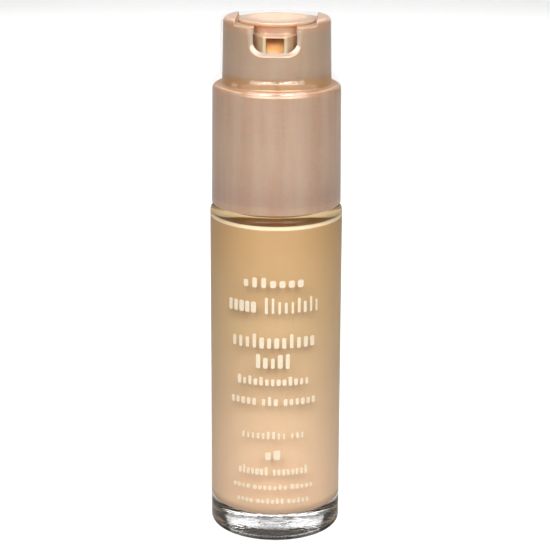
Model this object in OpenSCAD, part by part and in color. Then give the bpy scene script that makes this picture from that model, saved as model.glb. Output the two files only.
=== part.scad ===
// Foundation bottle: a round glass bottle with a treatment pump under a two-tier shroud.
// The base stands on z = 0, the bottle's axis is Z, and the pump's nozzle points along -Y.

/* [Glass bottle] */
// Outside diameter of the glass
glass_d = 29; // [28:0.5:30]
// Height of the shoulder above the base
shoulder_z = 74.3; // [66:0.5:84]
// Thickness of the side wall
glass_wall = 2.45; // [2:0.05:2.8]
// Thickness of the clear glass under the liquid
base_glass = 5.4; // [3:0.1:8]
// Thickness of the clear glass over the liquid at the shoulder
shoulder_glass = 2.3; // [1.8:0.1:3]
// Radius round the outside of the base
base_round = 1.2; // [1:0.1:3]
// Radius round the outside of the shoulder
shoulder_round = 1.3; // [0.6:0.1:2]
// Radius round the floor of the cavity
floor_round = 2.6; // [1:0.1:4]
// Height of the hollow under the base
punt_h = 0.7; // [0.3:0.1:1.5]

/* [Neck finish] */
// Height of the neck above the shoulder
neck_h = 15.2; // [14.8:0.1:16]
// Radius of the neck at the root of its thread
neck_r = 7.8; // [7.7:0.05:7.85]
// Radius of the crest of the neck thread
thread_r = 8.8; // [8.6:0.05:8.8]
// Radius of the hole through the neck
neck_bore_r = 5.2; // [5.15:0.05:5.5]
// Rise of the thread in one turn
pitch = 3.175; // [3:0.025:3.4]
// Turns of thread on the neck and in the cap
thread_turns = 1.5; // [1:0.25:1.75]

/* [Shroud] */
// Radius of the lower tier at its bottom edge
tier_low_r = 14.12; // [13.9:0.02:14.2]
// Radius of the lower tier under its rounded top corner
tier_top_r = 13.9; // [13.7:0.02:14]
// Height of the lower tier's top above the shoulder
tier_h = 26.8; // [26:0.1:28]
// Radius of the upper tier at its foot
neck_tier_low_r = 11.8; // [11.7:0.05:12]
// Radius of the upper tier at its top
neck_tier_top_r = 11.5; // [11.4:0.05:11.6]
// Height of the two side horns above the shoulder
horn_h = 41.3; // [41:0.1:42]
// Depth of the finger channel between the horns
channel_depth = 1.15; // [0.8:0.05:1.3]
// Gap between the glass shoulder and the shroud
shroud_gap = 0.45; // [0.3:0.05:0.6]
// Half width of the nozzle notch on the inside of the wall
notch_half_w = 4.5; // [4.4:0.1:4.8]
// Extra width of the notch at the outside of the wall
notch_bevel = 0.8; // [0.4:0.1:1]
// Extra width of the notch at its open top
notch_flare = 1.3; // [0.6:0.1:1.5]

/* [Pump head] */
// Radius of the button's rim
button_r = 8.16; // [8:0.02:8.3]
// Radius of the button's skirt
skirt_r = 7.65; // [7.5:0.05:7.75]
// Depth of the dished top
dish_depth = 1.4; // [0.8:0.1:1.5]
// Distance from the axis to the nozzle's front face
nozzle_reach = 10.5; // [10.2:0.05:10.55]
// Half width of the nozzle's front
nozzle_half_w = 2.4; // [2.3:0.1:2.6]
// Half width of the mouth in the nozzle
mouth_half_w = 1.8; // [1.5:0.1:1.85]

/* [Pump] */
// Travel of the pump head
stroke = 2.5; // [1.5:0.1:2.6]
// Bore radius of the pump housing
housing_bore_r = 4.2; // [4.1:0.05:4.25]
// Outside radius of the stem
stem_r = 2; // [1.95:0.05:2.1]
// Radius of the inlet ball
inlet_ball_r = 1.6; // [1.5:0.05:1.7]
// Radius of the outlet ball
outlet_ball_r = 1.25; // [1.2:0.01:1.26]
// Outside radius of the dip tube
tube_r = 1.5; // [1.4:0.05:1.6]
// Coils between the spring's closed ends
spring_coils = 5; // [4:0.5:6]
// Diameter of the spring's wire
wire_d = 0.7; // [0.5:0.05:0.75]

/* [Shrink band] */
// Thickness of the clear film
film_t = 0.1; // [0.08:0.01:0.12]
// Gap between the film and the shroud
film_gap = 0.06; // [0.05:0.01:0.1]

/* [Print] */
// Thickness of the printed ink
ink_t = 0.06; // [0.05:0.01:0.1]
// Angle of the print's centre from the nozzle's direction
print_turn = 0; // [-10:0.5:10]

/* [Hidden] */

// Resolution and small working values
round_fn = 96;
small_fn = 48;
arc_steps = 6;
cut = 0.5; // how far a cutter reaches past the face it opens
embed = 0.2; // how far a swept rib is sunk into its wall
run_gap = 0.04; // radial clearance of a part that slides in another
seat_gap = 0.02; // clearance of a ball on its seat

// Colours
glass_colour = [0.88, 0.84, 0.78, 0.35];
liquid_colour = [0.80, 0.66, 0.46];
ink_colour = [0.97, 0.94, 0.86];
pearl_colour = [0.76, 0.62, 0.53];
amber_colour = [0.72, 0.50, 0.30];
resin_colour = [0.93, 0.93, 0.91];
steel_colour = [0.72, 0.73, 0.75];
film_colour = [0.95, 0.95, 0.95, 0.25];

// Glass bottle
glass_r = glass_d / 2;
cavity_r = glass_r - glass_wall;
cavity_top = shoulder_z - shoulder_glass;
cavity_corner = 1;
punt_r = 9.4;
neck_fillet = 0.8;
neck_top = shoulder_z + neck_h;
neck_edge = 0.4;
bead_r = 8.5;
bead_low = shoulder_z + 1.9;
bead_high = bead_low + 1.9;

// Thread: a trapezoid wider at its root than at its crest, on the neck and inside the cap
thread_root_w = 1.9;
thread_crest_w = 1;
thread_steps = 36; // per turn
thread_fade = 5; // steps over which an end fades into the wall
thread_start_z = neck_top - 6.9;
cap_crest_r = neck_r + 0.2;
cap_bore_r = thread_r + 0.2;

// Liquid
liquid_gap = 0.03;
liquid_top = cavity_top - 0.05;
pump_room = 0.3;

// Gasket, housing flange, cap top and lock ring are stacked on the neck
gasket_t = 0.8;
flange_t = 1;
cap_top_t = 1.4;
lock_flange_t = 1;
clamp_r = 8.6;
gasket_hole_r = neck_bore_r + 0.1;
flange_z = neck_top + gasket_t;
cap_roof_z = flange_z + flange_t;
cap_top_z = cap_roof_z + cap_top_t;
lock_top_z = cap_top_z + lock_flange_t;

// Screw cap
cap_r = 10.3;
cap_low_z = shoulder_z + 1.1;
cap_hole_r = 6;
cap_ring_h = 1.4;
cap_ribs = 12;
cap_rib_w = 1;
shroud_bore_r = 12.8;
cap_grip_r = shroud_bore_r - 0.03;

// Shroud
shroud_low_z = shoulder_z + shroud_gap;
tier_z = shoulder_z + tier_h;
horn_z = shoulder_z + horn_h;
land_z = horn_z - channel_depth;
land_t = 1.3;
tier_round = 0.8;
step_fillet = 0.5;
horn_round = 1.3;
shelf_t = 1.4;
button_gap = 0.2;
well_r = button_r + button_gap; // the hole that the button works in
channel_half_w = 8.6;
nozzle_clear = 0.15;
upper_bore_r = norm([nozzle_reach, nozzle_half_w]) + nozzle_clear; // lets the nozzle's corners pass
seat_ledge = 0.3;
edge_round = 0.3;

// Notch for the nozzle, wider outside than inside
notch_low_z = land_z - 6.1;
notch_in_z = notch_low_z + 1;
notch_round_r = 2.4;
notch_in_y = -nozzle_reach + 0.35;
notch_out_y = -neck_tier_low_r - 0.3;
slab = 0.01;

// Pump head
head_top_z = horn_z - 0.5;
rim_h = 0.8;
rim_round = 0.25;
dish_r = button_r - 0.6;
dish_round = (dish_r * dish_r + dish_depth * dish_depth) / (2 * dish_depth); // radius of the dish's curve
skirt_low_z = head_top_z - 10.9;
skirt_wall = 1;
plate_low_z = head_top_z - 2.6;
socket_r = 3.2;
stem_top_z = head_top_z - 6.6;
socket_low_z = skirt_low_z + 0.2;
boss_top_z = head_top_z - 2.5;
boss_low_z = boss_top_z - 4.7;
boss_root_half_w = 4.6;
boss_root_y = -7;
boss_in_y = -5; // inside the skirt
mouth_top_z = boss_top_z - 0.4;
mouth_low_z = boss_low_z + 0.8;
mouth_depth = 1.5;
duct_r = 0.8;
duct_z = mouth_top_z - 1;
insert_depth = 3;
insert_gap = 0.02;

// Housing
housing_r = neck_bore_r - 0.25;
housing_floor_z = cavity_top - 0.4;
chamber_r = 2.3;
chamber_low_z = housing_floor_z - 4.7;
inlet_seat_r = 0.9;
inlet_seat_z = chamber_low_z - (chamber_r - inlet_seat_r);
inlet_ball_z = inlet_seat_z - inlet_seat_r + inlet_ball_r * sqrt(2) + seat_gap;
inlet_ball_lift = 1;
keeper_z = inlet_ball_z + inlet_ball_r + inlet_ball_lift + 0.15;
keeper_t = 0.6;
keeper_r = inlet_ball_r - 0.3;
socket_stop_z = inlet_seat_z - 1;
tube_socket_r = 2.7;
tube_socket_z = socket_stop_z - 6;
taper_z = housing_floor_z - 1.6;
taper_h = 3;

// Lock ring
lock_flange_r = 7.5;
lock_plug_r = cap_hole_r - 0.15;
lock_sleeve_r = housing_bore_r - 0.02;
lock_sleeve_z = neck_top;
lock_guide_h = 1.5;
lock_bore_r = stem_r + 0.6;

// Stem, piston and spring
stem_bore_r = 0.8;
foot_t = 1;
foot_r = 3.5;
piston_h = 3.8;
piston_top_z = lock_sleeve_z - 0.3;
foot_top_z = piston_top_z - piston_h;
piston_r = housing_bore_r - run_gap;
piston_waist_r = piston_r - 0.6;
lip_h = 0.9;
piston_bore_r = stem_r + 0.01;
vent_r = 0.4;
vent_z = piston_top_z - stroke + vent_r; // the piston uncovers it at the end of its stroke
outlet_seat_z = stem_top_z - 3.3;
outlet_chamber_r = outlet_ball_r + 0.2;
outlet_ball_z = outlet_seat_z - stem_bore_r + outlet_ball_r * sqrt(2) + seat_gap;
spring_gap = 0.05;
spring_low_z = housing_floor_z + spring_gap;
spring_high_z = foot_top_z - foot_t - spring_gap;
spring_r = 3.05;
spring_dead_coils = 1;
spring_steps = 20; // per coil
wire_sides = 8;

// Dip tube
tube_wall = 0.5;
tube_low_z = base_glass + 1.6;
tube_tip_cut = 45;

// Shrink band, outside every part of the shroud it passes as it lifts
band_low_z = shroud_low_z + 1.55;
band_shelf_z = tier_z - 0.3;
band_bridge_z = tier_z + 3.5;
band_top_z = horn_z - 1.5;
band_offset = film_gap + film_t;
band_slack = 0.3; // how far the film stands off the upper tier
band_corner = 0.4;

// Printed rows: [height of the row, height of its marks, width straight across, shares taken by its words].
// A word is a plain block. The title has one bold and one slim block, and the third from last is a swatch.
print_rows = [
    [59.9, 1.9, 13.2, [1]],
    [54.6, 4.0, 19.6, [0.47, 0.47]],
    [46.6, 3.4, 18.4, [1]],
    [42.0, 3.2, 8.4, [1]],
    [37.6, 1.9, 16.2, [1]],
    [33.0, 1.9, 19.2, [0.4, 0.2, 0.3]],
    [25.1, 1.6, 14.4, [0.68, 0.22]],
    [20.4, 2.0, 3.8, [1]],
    [16.6, 1.6, 15.8, [0.4, 0.5]],
    [12.9, 1.0, 18.2, [0.3, 0.3, 0.3]],
    [9.6, 1.0, 16.4, [0.2, 0.35, 0.35]]
];

// Points of an arc about (x, z), from angle a to angle b
function arc(x, z, r, a, b) =
    [for (i = [0 : arc_steps]) let(t = a + (b - a) * i / arc_steps) [x + r * cos(t), z + r * sin(t)]];

// Sum of the first n values of a list
function sum(list, n) = n == 0 ? 0 : list[n - 1] + sum(list, n - 1);

// A point at radius r and angle t round the axis
function at(r, t, z) = [r * cos(t), r * sin(t), z];

// Joins rings along a helix into one closed solid: each ring has the same number of points,
// which run outwards first and then upwards
module sweep_rings(rings) {
    n = len(rings);
    k = len(rings[0]);
    sides = [for (i = [0 : n - 2]) for (j = [0 : k - 1])
        for (f = [[i * k + j, (i + 1) * k + (j + 1) % k, (i + 1) * k + j],
                  [i * k + j, i * k + (j + 1) % k, (i + 1) * k + (j + 1) % k]]) f];
    start = [for (j = [k - 1 : -1 : 0]) j];
    end = [for (j = [0 : k - 1]) (n - 1) * k + j];
    polyhedron(points = [for (r = rings) for (p = r) p], faces = concat(sides, [start, end]));
}

// One thread: the root lies at root_r, sunk by embed into the wall, and the crest at crest_r
module thread(root_r, crest_r, start_z) {
    n = floor(thread_turns * thread_steps);
    dir = sign(crest_r - root_r);
    sunk_r = root_r - dir * embed;
    rings = [for (i = [0 : n])
        let(
            fade = min(1, i / thread_fade, (n - i) / thread_fade),
            t = 360 * i / thread_steps,
            z = start_z + pitch * i / thread_steps,
            tip_r = root_r - dir * embed / 2 + (crest_r - root_r + dir * embed / 2) * fade,
            section = [[sunk_r, -thread_root_w / 2], [tip_r, -thread_crest_w / 2],
                       [tip_r, thread_crest_w / 2], [sunk_r, thread_root_w / 2]]
        )
        [for (p = section) at(p[0], t, z + p[1])]];
    if (dir > 0)
        sweep_rings(rings);
    else
        sweep_rings([for (r = rings) [r[3], r[2], r[1], r[0]]]);
}

// A tube between two heights
module tube(outer_r, inner_r, low_z, high_z, fn = small_fn) {
    translate([0, 0, low_z])
        difference() {
            cylinder(h = high_z - low_z, r = outer_r, $fn = fn);
            translate([0, 0, -cut])
                cylinder(h = high_z - low_z + 2 * cut, r = inner_r, $fn = fn);
        }
}

module glass_bottle() {
    outline = concat(
        [[0, punt_h], [punt_r / 2, punt_h * 0.75], [punt_r, 0]],
        arc(glass_r - base_round, base_round, base_round, -90, 0),
        arc(glass_r - shoulder_round, shoulder_z - shoulder_round, shoulder_round, 0, 90),
        arc(neck_r + neck_fillet, shoulder_z + neck_fillet, neck_fillet, 270, 180),
        [[neck_r, bead_low], [bead_r, bead_low + neck_edge]],
        [[bead_r, bead_high - neck_edge], [neck_r, bead_high]],
        [[neck_r, neck_top - neck_edge], [neck_r - neck_edge, neck_top]],
        [[neck_bore_r, neck_top], [neck_bore_r, cavity_top]],
        arc(cavity_r - cavity_corner, cavity_top - cavity_corner, cavity_corner, 90, 0),
        arc(cavity_r - floor_round, base_glass + floor_round, floor_round, 0, -90),
        [[0, base_glass]]
    );
    color(glass_colour) {
        rotate_extrude($fn = round_fn) polygon(outline);
        thread(neck_r, thread_r, thread_start_z);
    }
}

// Fills the cavity up to the shoulder, with room for the pump to be lifted straight out
module foundation_liquid() {
    r = cavity_r - liquid_gap;
    low = base_glass + liquid_gap;
    tube_room_r = tube_r + pump_room;
    socket_room_r = tube_socket_r + pump_room;
    housing_room_r = housing_r + pump_room;
    outline = concat(
        [[0, low]],
        arc(r - floor_round, low + floor_round, floor_round, -90, 0),
        arc(r - cavity_corner, liquid_top - cavity_corner, cavity_corner, 0, 90),
        [[housing_room_r, liquid_top], [housing_room_r, taper_z - pump_room]],
        [[socket_room_r, taper_z - taper_h - pump_room], [socket_room_r, tube_socket_z - pump_room]],
        [[tube_room_r, tube_socket_z - pump_room], [tube_room_r, tube_low_z - pump_room]],
        [[0, tube_low_z - pump_room]]
    );
    color(liquid_colour)
        rotate_extrude($fn = round_fn) polygon(outline);
}

// One printed block, a thin slab bent round the glass, from angle a to angle b
module ink_block(a, b, z, h) {
    rotate([0, 0, a - 90])
        rotate_extrude(angle = b - a, $fn = round_fn)
            translate([glass_r, z - h / 2])
                square([ink_t, h]);
}

module front_print() {
    color(ink_colour)
        rotate([0, 0, print_turn])
            for (row = print_rows) {
                half_a = asin(row[2] / 2 / glass_r);
                words = row[3];
                gap = len(words) > 1 ? (1 - sum(words, len(words))) / (len(words) - 1) : 0;
                for (i = [0 : len(words) - 1]) {
                    start = sum(words, i) + i * gap;
                    end = start + words[i];
                    ink_block(half_a * (2 * start - 1), half_a * (2 * end - 1), row[0], row[1]);
                }
            }
}

module neck_gasket() {
    color(resin_colour)
        tube(clamp_r, gasket_hole_r, neck_top, flange_z);
}

module screw_cap() {
    color(resin_colour) {
        difference() {
            union() {
                translate([0, 0, cap_low_z])
                    cylinder(h = cap_top_z - cap_low_z, r = cap_r, $fn = round_fn);
                translate([0, 0, cap_low_z])
                    cylinder(h = cap_ring_h, r = cap_grip_r, $fn = round_fn);
                intersection() {
                    for (i = [0 : cap_ribs - 1])
                        rotate([0, 0, 360 * i / cap_ribs])
                            translate([cap_r - cap_rib_w, -cap_rib_w / 2, cap_low_z])
                                cube([cap_grip_r - cap_r + 2 * cap_rib_w, cap_rib_w, cap_top_z - cap_low_z]);
                    translate([0, 0, cap_low_z])
                        cylinder(h = cap_top_z - cap_low_z, r = cap_grip_r, $fn = round_fn);
                }
            }
            translate([0, 0, cap_low_z - cut])
                cylinder(h = cap_roof_z - cap_low_z + cut, r = cap_bore_r, $fn = round_fn);
            translate([0, 0, cap_roof_z - cut])
                cylinder(h = cap_top_t + 2 * cut, r = cap_hole_r, $fn = small_fn);
        }
        thread(cap_bore_r, cap_crest_r, thread_start_z - pitch / 2);
    }
}

// The notch's outline at one depth of the wall, seen from the front
module notch_slab(y, half_w, low_z, flare) {
    top_z = horn_z + cut;
    translate([0, y, 0])
        rotate([90, 0, 0])
            linear_extrude(height = slab)
                polygon(concat(
                    [[half_w + flare, top_z], [-half_w - flare, top_z]],
                    arc(-half_w + notch_round_r, low_z + notch_round_r, notch_round_r, 180, 270),
                    arc(half_w - notch_round_r, low_z + notch_round_r, notch_round_r, 270, 360)
                ));
}

module shroud() {
    outline = concat(
        arc(tier_low_r - edge_round, shroud_low_z + edge_round, edge_round, -90, 0),
        arc(tier_top_r - tier_round, tier_z - tier_round, tier_round, 0, 90),
        arc(neck_tier_low_r + step_fillet, tier_z + step_fillet, step_fillet, 270, 180),
        arc(neck_tier_top_r - horn_round, horn_z - horn_round, horn_round, 0, 90),
        [[well_r, horn_z], [well_r, land_z - land_t], [upper_bore_r, land_z - land_t]],
        [[upper_bore_r, tier_z - shelf_t], [shroud_bore_r - seat_ledge, tier_z - shelf_t]],
        [[shroud_bore_r - seat_ledge, cap_top_z], [shroud_bore_r, cap_top_z], [shroud_bore_r, shroud_low_z]]
    );
    color(pearl_colour)
        difference() {
            rotate_extrude($fn = round_fn) polygon(outline);
            translate([-channel_half_w, -glass_r, land_z])
                cube([2 * channel_half_w, 2 * glass_r, horn_h]);
            hull() {
                notch_slab(notch_in_y, notch_half_w, notch_in_z, 0);
                notch_slab(notch_out_y, notch_half_w + notch_bevel, notch_low_z, notch_flare);
            }
            // Straight way in for the nozzle behind the notch
            translate([-notch_half_w, notch_in_y - slab, notch_in_z + notch_round_r])
                cube([2 * notch_half_w, -notch_in_y, horn_h]);
        }
}

module pump_housing() {
    outline = [
        [tube_r, tube_socket_z], [tube_r, socket_stop_z], [inlet_seat_r, socket_stop_z],
        [inlet_seat_r, inlet_seat_z], [chamber_r, chamber_low_z],
        [chamber_r, keeper_z], [keeper_r, keeper_z], [keeper_r, keeper_z + keeper_t],
        [chamber_r, keeper_z + keeper_t], [chamber_r, housing_floor_z], [housing_bore_r, housing_floor_z],
        [housing_bore_r, cap_roof_z], [clamp_r, cap_roof_z], [clamp_r, flange_z], [housing_r, flange_z],
        [housing_r, taper_z], [tube_socket_r, taper_z - taper_h], [tube_socket_r, tube_socket_z]
    ];
    color(resin_colour)
        difference() {
            rotate_extrude($fn = small_fn) polygon(outline);
            translate([0, 0, vent_z])
                rotate([90, 0, 0])
                    cylinder(h = housing_r + cut, r = vent_r, $fn = small_fn / 2);
        }
}

module lock_ring() {
    outline = [
        [stem_r + run_gap, lock_top_z], [lock_flange_r, lock_top_z], [lock_flange_r, cap_top_z],
        [lock_plug_r, cap_top_z], [lock_plug_r, cap_roof_z], [lock_sleeve_r, cap_roof_z],
        [lock_sleeve_r, lock_sleeve_z], [lock_bore_r, lock_sleeve_z],
        [lock_bore_r, lock_top_z - lock_guide_h],
        [stem_r + run_gap, lock_top_z - lock_guide_h]
    ];
    color(resin_colour)
        rotate_extrude($fn = small_fn) polygon(outline);
}

// Plain tube with a slanted tip, pushed up into the housing's socket
module dip_tube() {
    color(resin_colour)
        difference() {
            tube(tube_r - 0.01, tube_r - tube_wall, tube_low_z, socket_stop_z - 0.05);
            translate([-tube_r, 0, tube_low_z])
                rotate([0, -tube_tip_cut, 0])
                    translate([0, -2 * tube_r, -4 * tube_r])
                        cube([8 * tube_r, 4 * tube_r, 4 * tube_r]);
        }
}

module inlet_ball() {
    color(steel_colour)
        translate([0, 0, inlet_ball_z])
            sphere(r = inlet_ball_r, $fn = small_fn);
}

// Closed coils at both ends, open coils between them
module main_spring() {
    dead = spring_dead_coils;
    coils = spring_coils + 2 * dead;
    low = spring_low_z + wire_d / 2;
    high = spring_high_z - wire_d / 2;
    open_pitch = (high - low - 2 * dead * wire_d) / spring_coils;
    n = floor(coils * spring_steps);
    rings = [for (i = [0 : n])
        let(
            c = coils * i / n,
            t = 360 * c,
            z = low + wire_d * min(c, dead) + open_pitch * max(0, min(c - dead, spring_coils))
                + wire_d * max(0, c - dead - spring_coils)
        )
        [for (j = [0 : wire_sides - 1])
            let(a = 360 * j / wire_sides)
            at(spring_r + wire_d / 2 * cos(a), t, z + wire_d / 2 * sin(a))]];
    color(steel_colour)
        sweep_rings(rings);
}

module stem() {
    outline = [
        [stem_bore_r, foot_top_z - foot_t], [foot_r, foot_top_z - foot_t],
        [foot_r, foot_top_z], [stem_r, foot_top_z],
        [stem_r, stem_top_z], [outlet_chamber_r, stem_top_z],
        [outlet_chamber_r, outlet_seat_z + outlet_chamber_r - stem_bore_r], [stem_bore_r, outlet_seat_z]
    ];
    color(resin_colour)
        rotate_extrude($fn = small_fn) polygon(outline);
}

module piston() {
    low = foot_top_z;
    outline = [
        [piston_bore_r, low], [piston_r, low], [piston_r, low + lip_h], [piston_waist_r, low + 1.5 * lip_h],
        [piston_waist_r, piston_top_z - 1.5 * lip_h], [piston_r, piston_top_z - lip_h],
        [piston_r, piston_top_z], [piston_bore_r, piston_top_z]
    ];
    color(resin_colour)
        rotate_extrude($fn = small_fn) polygon(outline);
}

module outlet_ball() {
    color(steel_colour)
        translate([0, 0, outlet_ball_z])
            sphere(r = outlet_ball_r, $fn = small_fn);
}

module pump_head() {
    shell = concat(
        arc(0, head_top_z - dish_depth + dish_round, dish_round, -90, asin(dish_r / dish_round) - 90),
        arc(button_r - rim_round, head_top_z - rim_round, rim_round, 90, 0),
        [[button_r, head_top_z - rim_h], [skirt_r, head_top_z - rim_h], [skirt_r, skirt_low_z]],
        [[skirt_r - skirt_wall, skirt_low_z], [skirt_r - skirt_wall, plate_low_z], [0, plate_low_z]]
    );
    color(pearl_colour)
        difference() {
            union() {
                rotate_extrude($fn = round_fn) polygon(shell);
                // Nozzle boss outside the skirt, flaring back to it
                difference() {
                    translate([0, 0, boss_low_z])
                        linear_extrude(height = boss_top_z - boss_low_z)
                            polygon([
                                [-nozzle_half_w, -nozzle_reach], [nozzle_half_w, -nozzle_reach],
                                [boss_root_half_w, boss_root_y], [boss_root_half_w, boss_in_y],
                                [-boss_root_half_w, boss_in_y], [-boss_root_half_w, boss_root_y]
                            ]);
                    translate([0, 0, skirt_low_z])
                        cylinder(h = plate_low_z - skirt_low_z, r = skirt_r - skirt_wall, $fn = round_fn);
                }
                // Duct block from the socket to the boss
                translate([-nozzle_half_w, -skirt_r + skirt_wall / 2, boss_low_z])
                    cube([2 * nozzle_half_w, skirt_r - skirt_wall / 2, plate_low_z - boss_low_z + 0.1]);
                translate([0, 0, socket_low_z])
                    cylinder(h = plate_low_z - socket_low_z + 0.1, r = socket_r, $fn = small_fn);
            }
            translate([0, 0, socket_low_z - cut])
                cylinder(h = stem_top_z + 0.05 - socket_low_z + cut, r = stem_r + run_gap, $fn = small_fn);
            translate([0, 0, stem_top_z - cut])
                cylinder(h = duct_z - stem_top_z + cut, r = duct_r, $fn = small_fn);
            translate([0, 0, duct_z])
                rotate([90, 0, 0])
                    cylinder(h = nozzle_reach - mouth_depth, r = duct_r, $fn = small_fn);
            translate([-mouth_half_w, -nozzle_reach - cut, mouth_low_z])
                cube([2 * mouth_half_w, mouth_depth + insert_depth + cut, mouth_top_z - mouth_low_z]);
        }
}

// Outlet tip pressed into the back of the mouth
module nozzle_insert() {
    front_y = -nozzle_reach + mouth_depth;
    w = mouth_half_w - insert_gap;
    color(amber_colour)
        difference() {
            translate([-w, front_y, mouth_low_z + insert_gap])
                cube([2 * w, insert_depth - insert_gap, mouth_top_z - mouth_low_z - 2 * insert_gap]);
            translate([0, 0, duct_z])
                rotate([90, 0, 0])
                    cylinder(h = nozzle_reach, r = duct_r - 0.1, $fn = small_fn);
        }
}

// Clear film over the closure, open at both ends and wider below than above
module shrink_band() {
    low_r = tier_low_r + band_offset;
    shelf_r = tier_top_r + band_offset;
    foot_r = neck_tier_low_r + band_offset + band_slack;
    top_r = neck_tier_top_r + band_offset + band_slack;
    outer = [
        [low_r, band_low_z], [shelf_r, band_shelf_z], [shelf_r - band_corner, band_shelf_z + band_corner],
        [foot_r, band_bridge_z], [top_r, band_top_z]
    ];
    outline = concat(outer, [for (i = [len(outer) - 1 : -1 : 0]) outer[i] - [film_t, 0]]);
    color(film_colour)
        rotate_extrude($fn = round_fn) polygon(outline);
}

glass_bottle();
foundation_liquid();
front_print();
neck_gasket();
screw_cap();
shroud();
pump_housing();
lock_ring();
dip_tube();
inlet_ball();
main_spring();
stem();
piston();
outlet_ball();
pump_head();
nozzle_insert();
shrink_band();
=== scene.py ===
import math

import bpy
import numpy as np
from mathutils import Euler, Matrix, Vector


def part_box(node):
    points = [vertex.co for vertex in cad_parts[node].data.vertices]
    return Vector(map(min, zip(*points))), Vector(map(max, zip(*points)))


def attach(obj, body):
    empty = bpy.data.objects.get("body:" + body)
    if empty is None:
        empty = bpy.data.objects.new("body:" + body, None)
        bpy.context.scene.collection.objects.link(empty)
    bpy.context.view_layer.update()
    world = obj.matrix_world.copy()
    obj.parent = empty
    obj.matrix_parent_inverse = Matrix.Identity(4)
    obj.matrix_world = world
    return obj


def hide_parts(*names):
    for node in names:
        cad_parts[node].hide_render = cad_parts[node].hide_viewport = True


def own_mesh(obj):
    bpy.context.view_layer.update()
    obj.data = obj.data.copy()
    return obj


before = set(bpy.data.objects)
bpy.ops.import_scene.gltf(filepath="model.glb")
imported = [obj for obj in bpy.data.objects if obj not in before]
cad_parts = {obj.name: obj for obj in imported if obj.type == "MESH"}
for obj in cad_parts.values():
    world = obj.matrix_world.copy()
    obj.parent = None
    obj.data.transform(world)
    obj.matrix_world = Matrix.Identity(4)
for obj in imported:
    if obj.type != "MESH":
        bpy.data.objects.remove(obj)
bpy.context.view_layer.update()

MM = 0.001  # shapes are worked out in millimetres and stored in metres


# ---------------------------------------------------------------- sizes, from the frame

def node_box(name):
    """A CAD node's lowest and highest corners, in millimetres."""
    low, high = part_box(name)
    return np.array(low) / MM, np.array(high) / MM


glass_high = node_box("glass_bottle")[1]
liquid_low, liquid_high = node_box("foundation_liquid")
shroud_low, shroud_high = node_box("shroud")
cap_high = node_box("screw_cap")[1]
head_low, head_high = node_box("pump_head")
stem_high = node_box("stem")[1]
housing_low = node_box("pump_housing")[0]
tube_low, tube_high = node_box("dip_tube")
band_low = node_box("shrink_band")[0]
spring_low, spring_high = node_box("main_spring")

# Glass bottle
GLASS_R = glass_high[0]
NECK_TOP = glass_high[2]
NECK_H = 15.2
SHOULDER_Z = NECK_TOP - NECK_H
LIQUID_GAP = 0.03  # the CAD liquid stands this far off the glass
LIQUID_TOP_GAP = 0.05  # and this far below the cavity's roof
CAVITY_R = liquid_high[0] + LIQUID_GAP
FLOOR_Z = liquid_low[2] - LIQUID_GAP
CAVITY_TOP = liquid_high[2] + LIQUID_TOP_GAP
BASE_ROUND = 1.2
SHOULDER_ROUND = 1.3
FLOOR_ROUND = 2.6
CAVITY_CORNER = 1.0
PUNT_R = 9.4
PUNT_H = 0.7
KNURLS = 84  # small ridges round the ring that the bottle stands on
KNURL_IN_R = 10.0
KNURL_MID_R = 11.3
KNURL_OUT_R = 12.7
KNURL_H = 0.1
NECK_R = 7.8
NECK_FILLET = 0.8
NECK_BORE_R = 5.2
BEAD_R = 8.5
BEAD_Z = SHOULDER_Z + 1.9
BEAD_H = 1.9
BEAD_SLOPE = 0.4
THREAD_CREST_R = 8.8
PITCH = 3.175
THREAD_TURNS = 1.5
THREAD_START_Z = NECK_TOP - 6.9

# Shroud
TIER_LOW_Z = shroud_low[2]
HORN_Z = shroud_high[2]
TIER_LOW_R = shroud_high[0]
TIER_TOP_R = TIER_LOW_R - 0.22
TIER_Z = HORN_Z - 14.5
UPPER_LOW_R = 11.8
UPPER_TOP_R = 11.5
TIER_ROUND = 1.2
STEP_FILLET = 0.5
HORN_ROUND = 1.3
LAND_Z = HORN_Z - 1.15
LAND_T = 1.3
WELL_R = head_high[0] + 0.2
CHANNEL_HALF_W = 8.6
UPPER_BORE_R = 10.92
SHELF_T = 1.4
CAP_BORE_R = cap_high[0] + 0.03
CAP_TOP_Z = cap_high[2]
NOTCH_LOW_Z = LAND_Z - 6.1
NOTCH_IN_Z = NOTCH_LOW_Z + 1.0
NOTCH_HALF_W = 4.5
NOTCH_BEVEL = 0.8
NOTCH_FLARE = 1.3
NOTCH_ROUND = 2.4

# Broken edges and small fillets of the moulded parts
FINE_EDGE = 0.12
SMALL_EDGE = 0.15
EDGE = 0.2
CHANNEL_EDGE = 0.22
SOFT_EDGE = 0.25
FOOT_EDGE = 0.3

# Pump head
HEAD_Z = head_high[2]
HEAD_LOW_Z = head_low[2]
BUTTON_R = head_high[0]
SKIRT_R = 7.65
SKIRT_WALL = 1.0
DISH_R = BUTTON_R - 0.75
DISH_DEPTH = 1.4
RIM_H = 0.8
PLATE_LOW_Z = HEAD_Z - 2.6
REACH = -head_low[1]
BOSS_TOP_Z = HEAD_Z - 2.5
BOSS_LOW_Z = BOSS_TOP_Z - 4.7
BOSS_HALF_W = 2.55
BOSS_ROOT_HALF_W = 4.6
BOSS_ROOT_Y = 7.0
BOSS_IN_Y = 5.0  # it starts inside the skirt
BOSS_LEAN = 0.85  # its sides flare, so a true distance is this much shorter
MOUTH_HALF_W = 1.9
MOUTH_ROUND = 1.5
MOUTH_TOP_Z = BOSS_TOP_Z - 0.4
MOUTH_LOW_Z = BOSS_LOW_Z + 0.8
MOUTH_DEPTH = 1.5
INSERT_DEPTH = 3.0
DUCT_R = 0.8
DUCT_Z = MOUTH_TOP_Z - 1.0
SOCKET_R = 3.2
STEM_R = 2.04
STEM_TOP_Z = stem_high[2]

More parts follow.
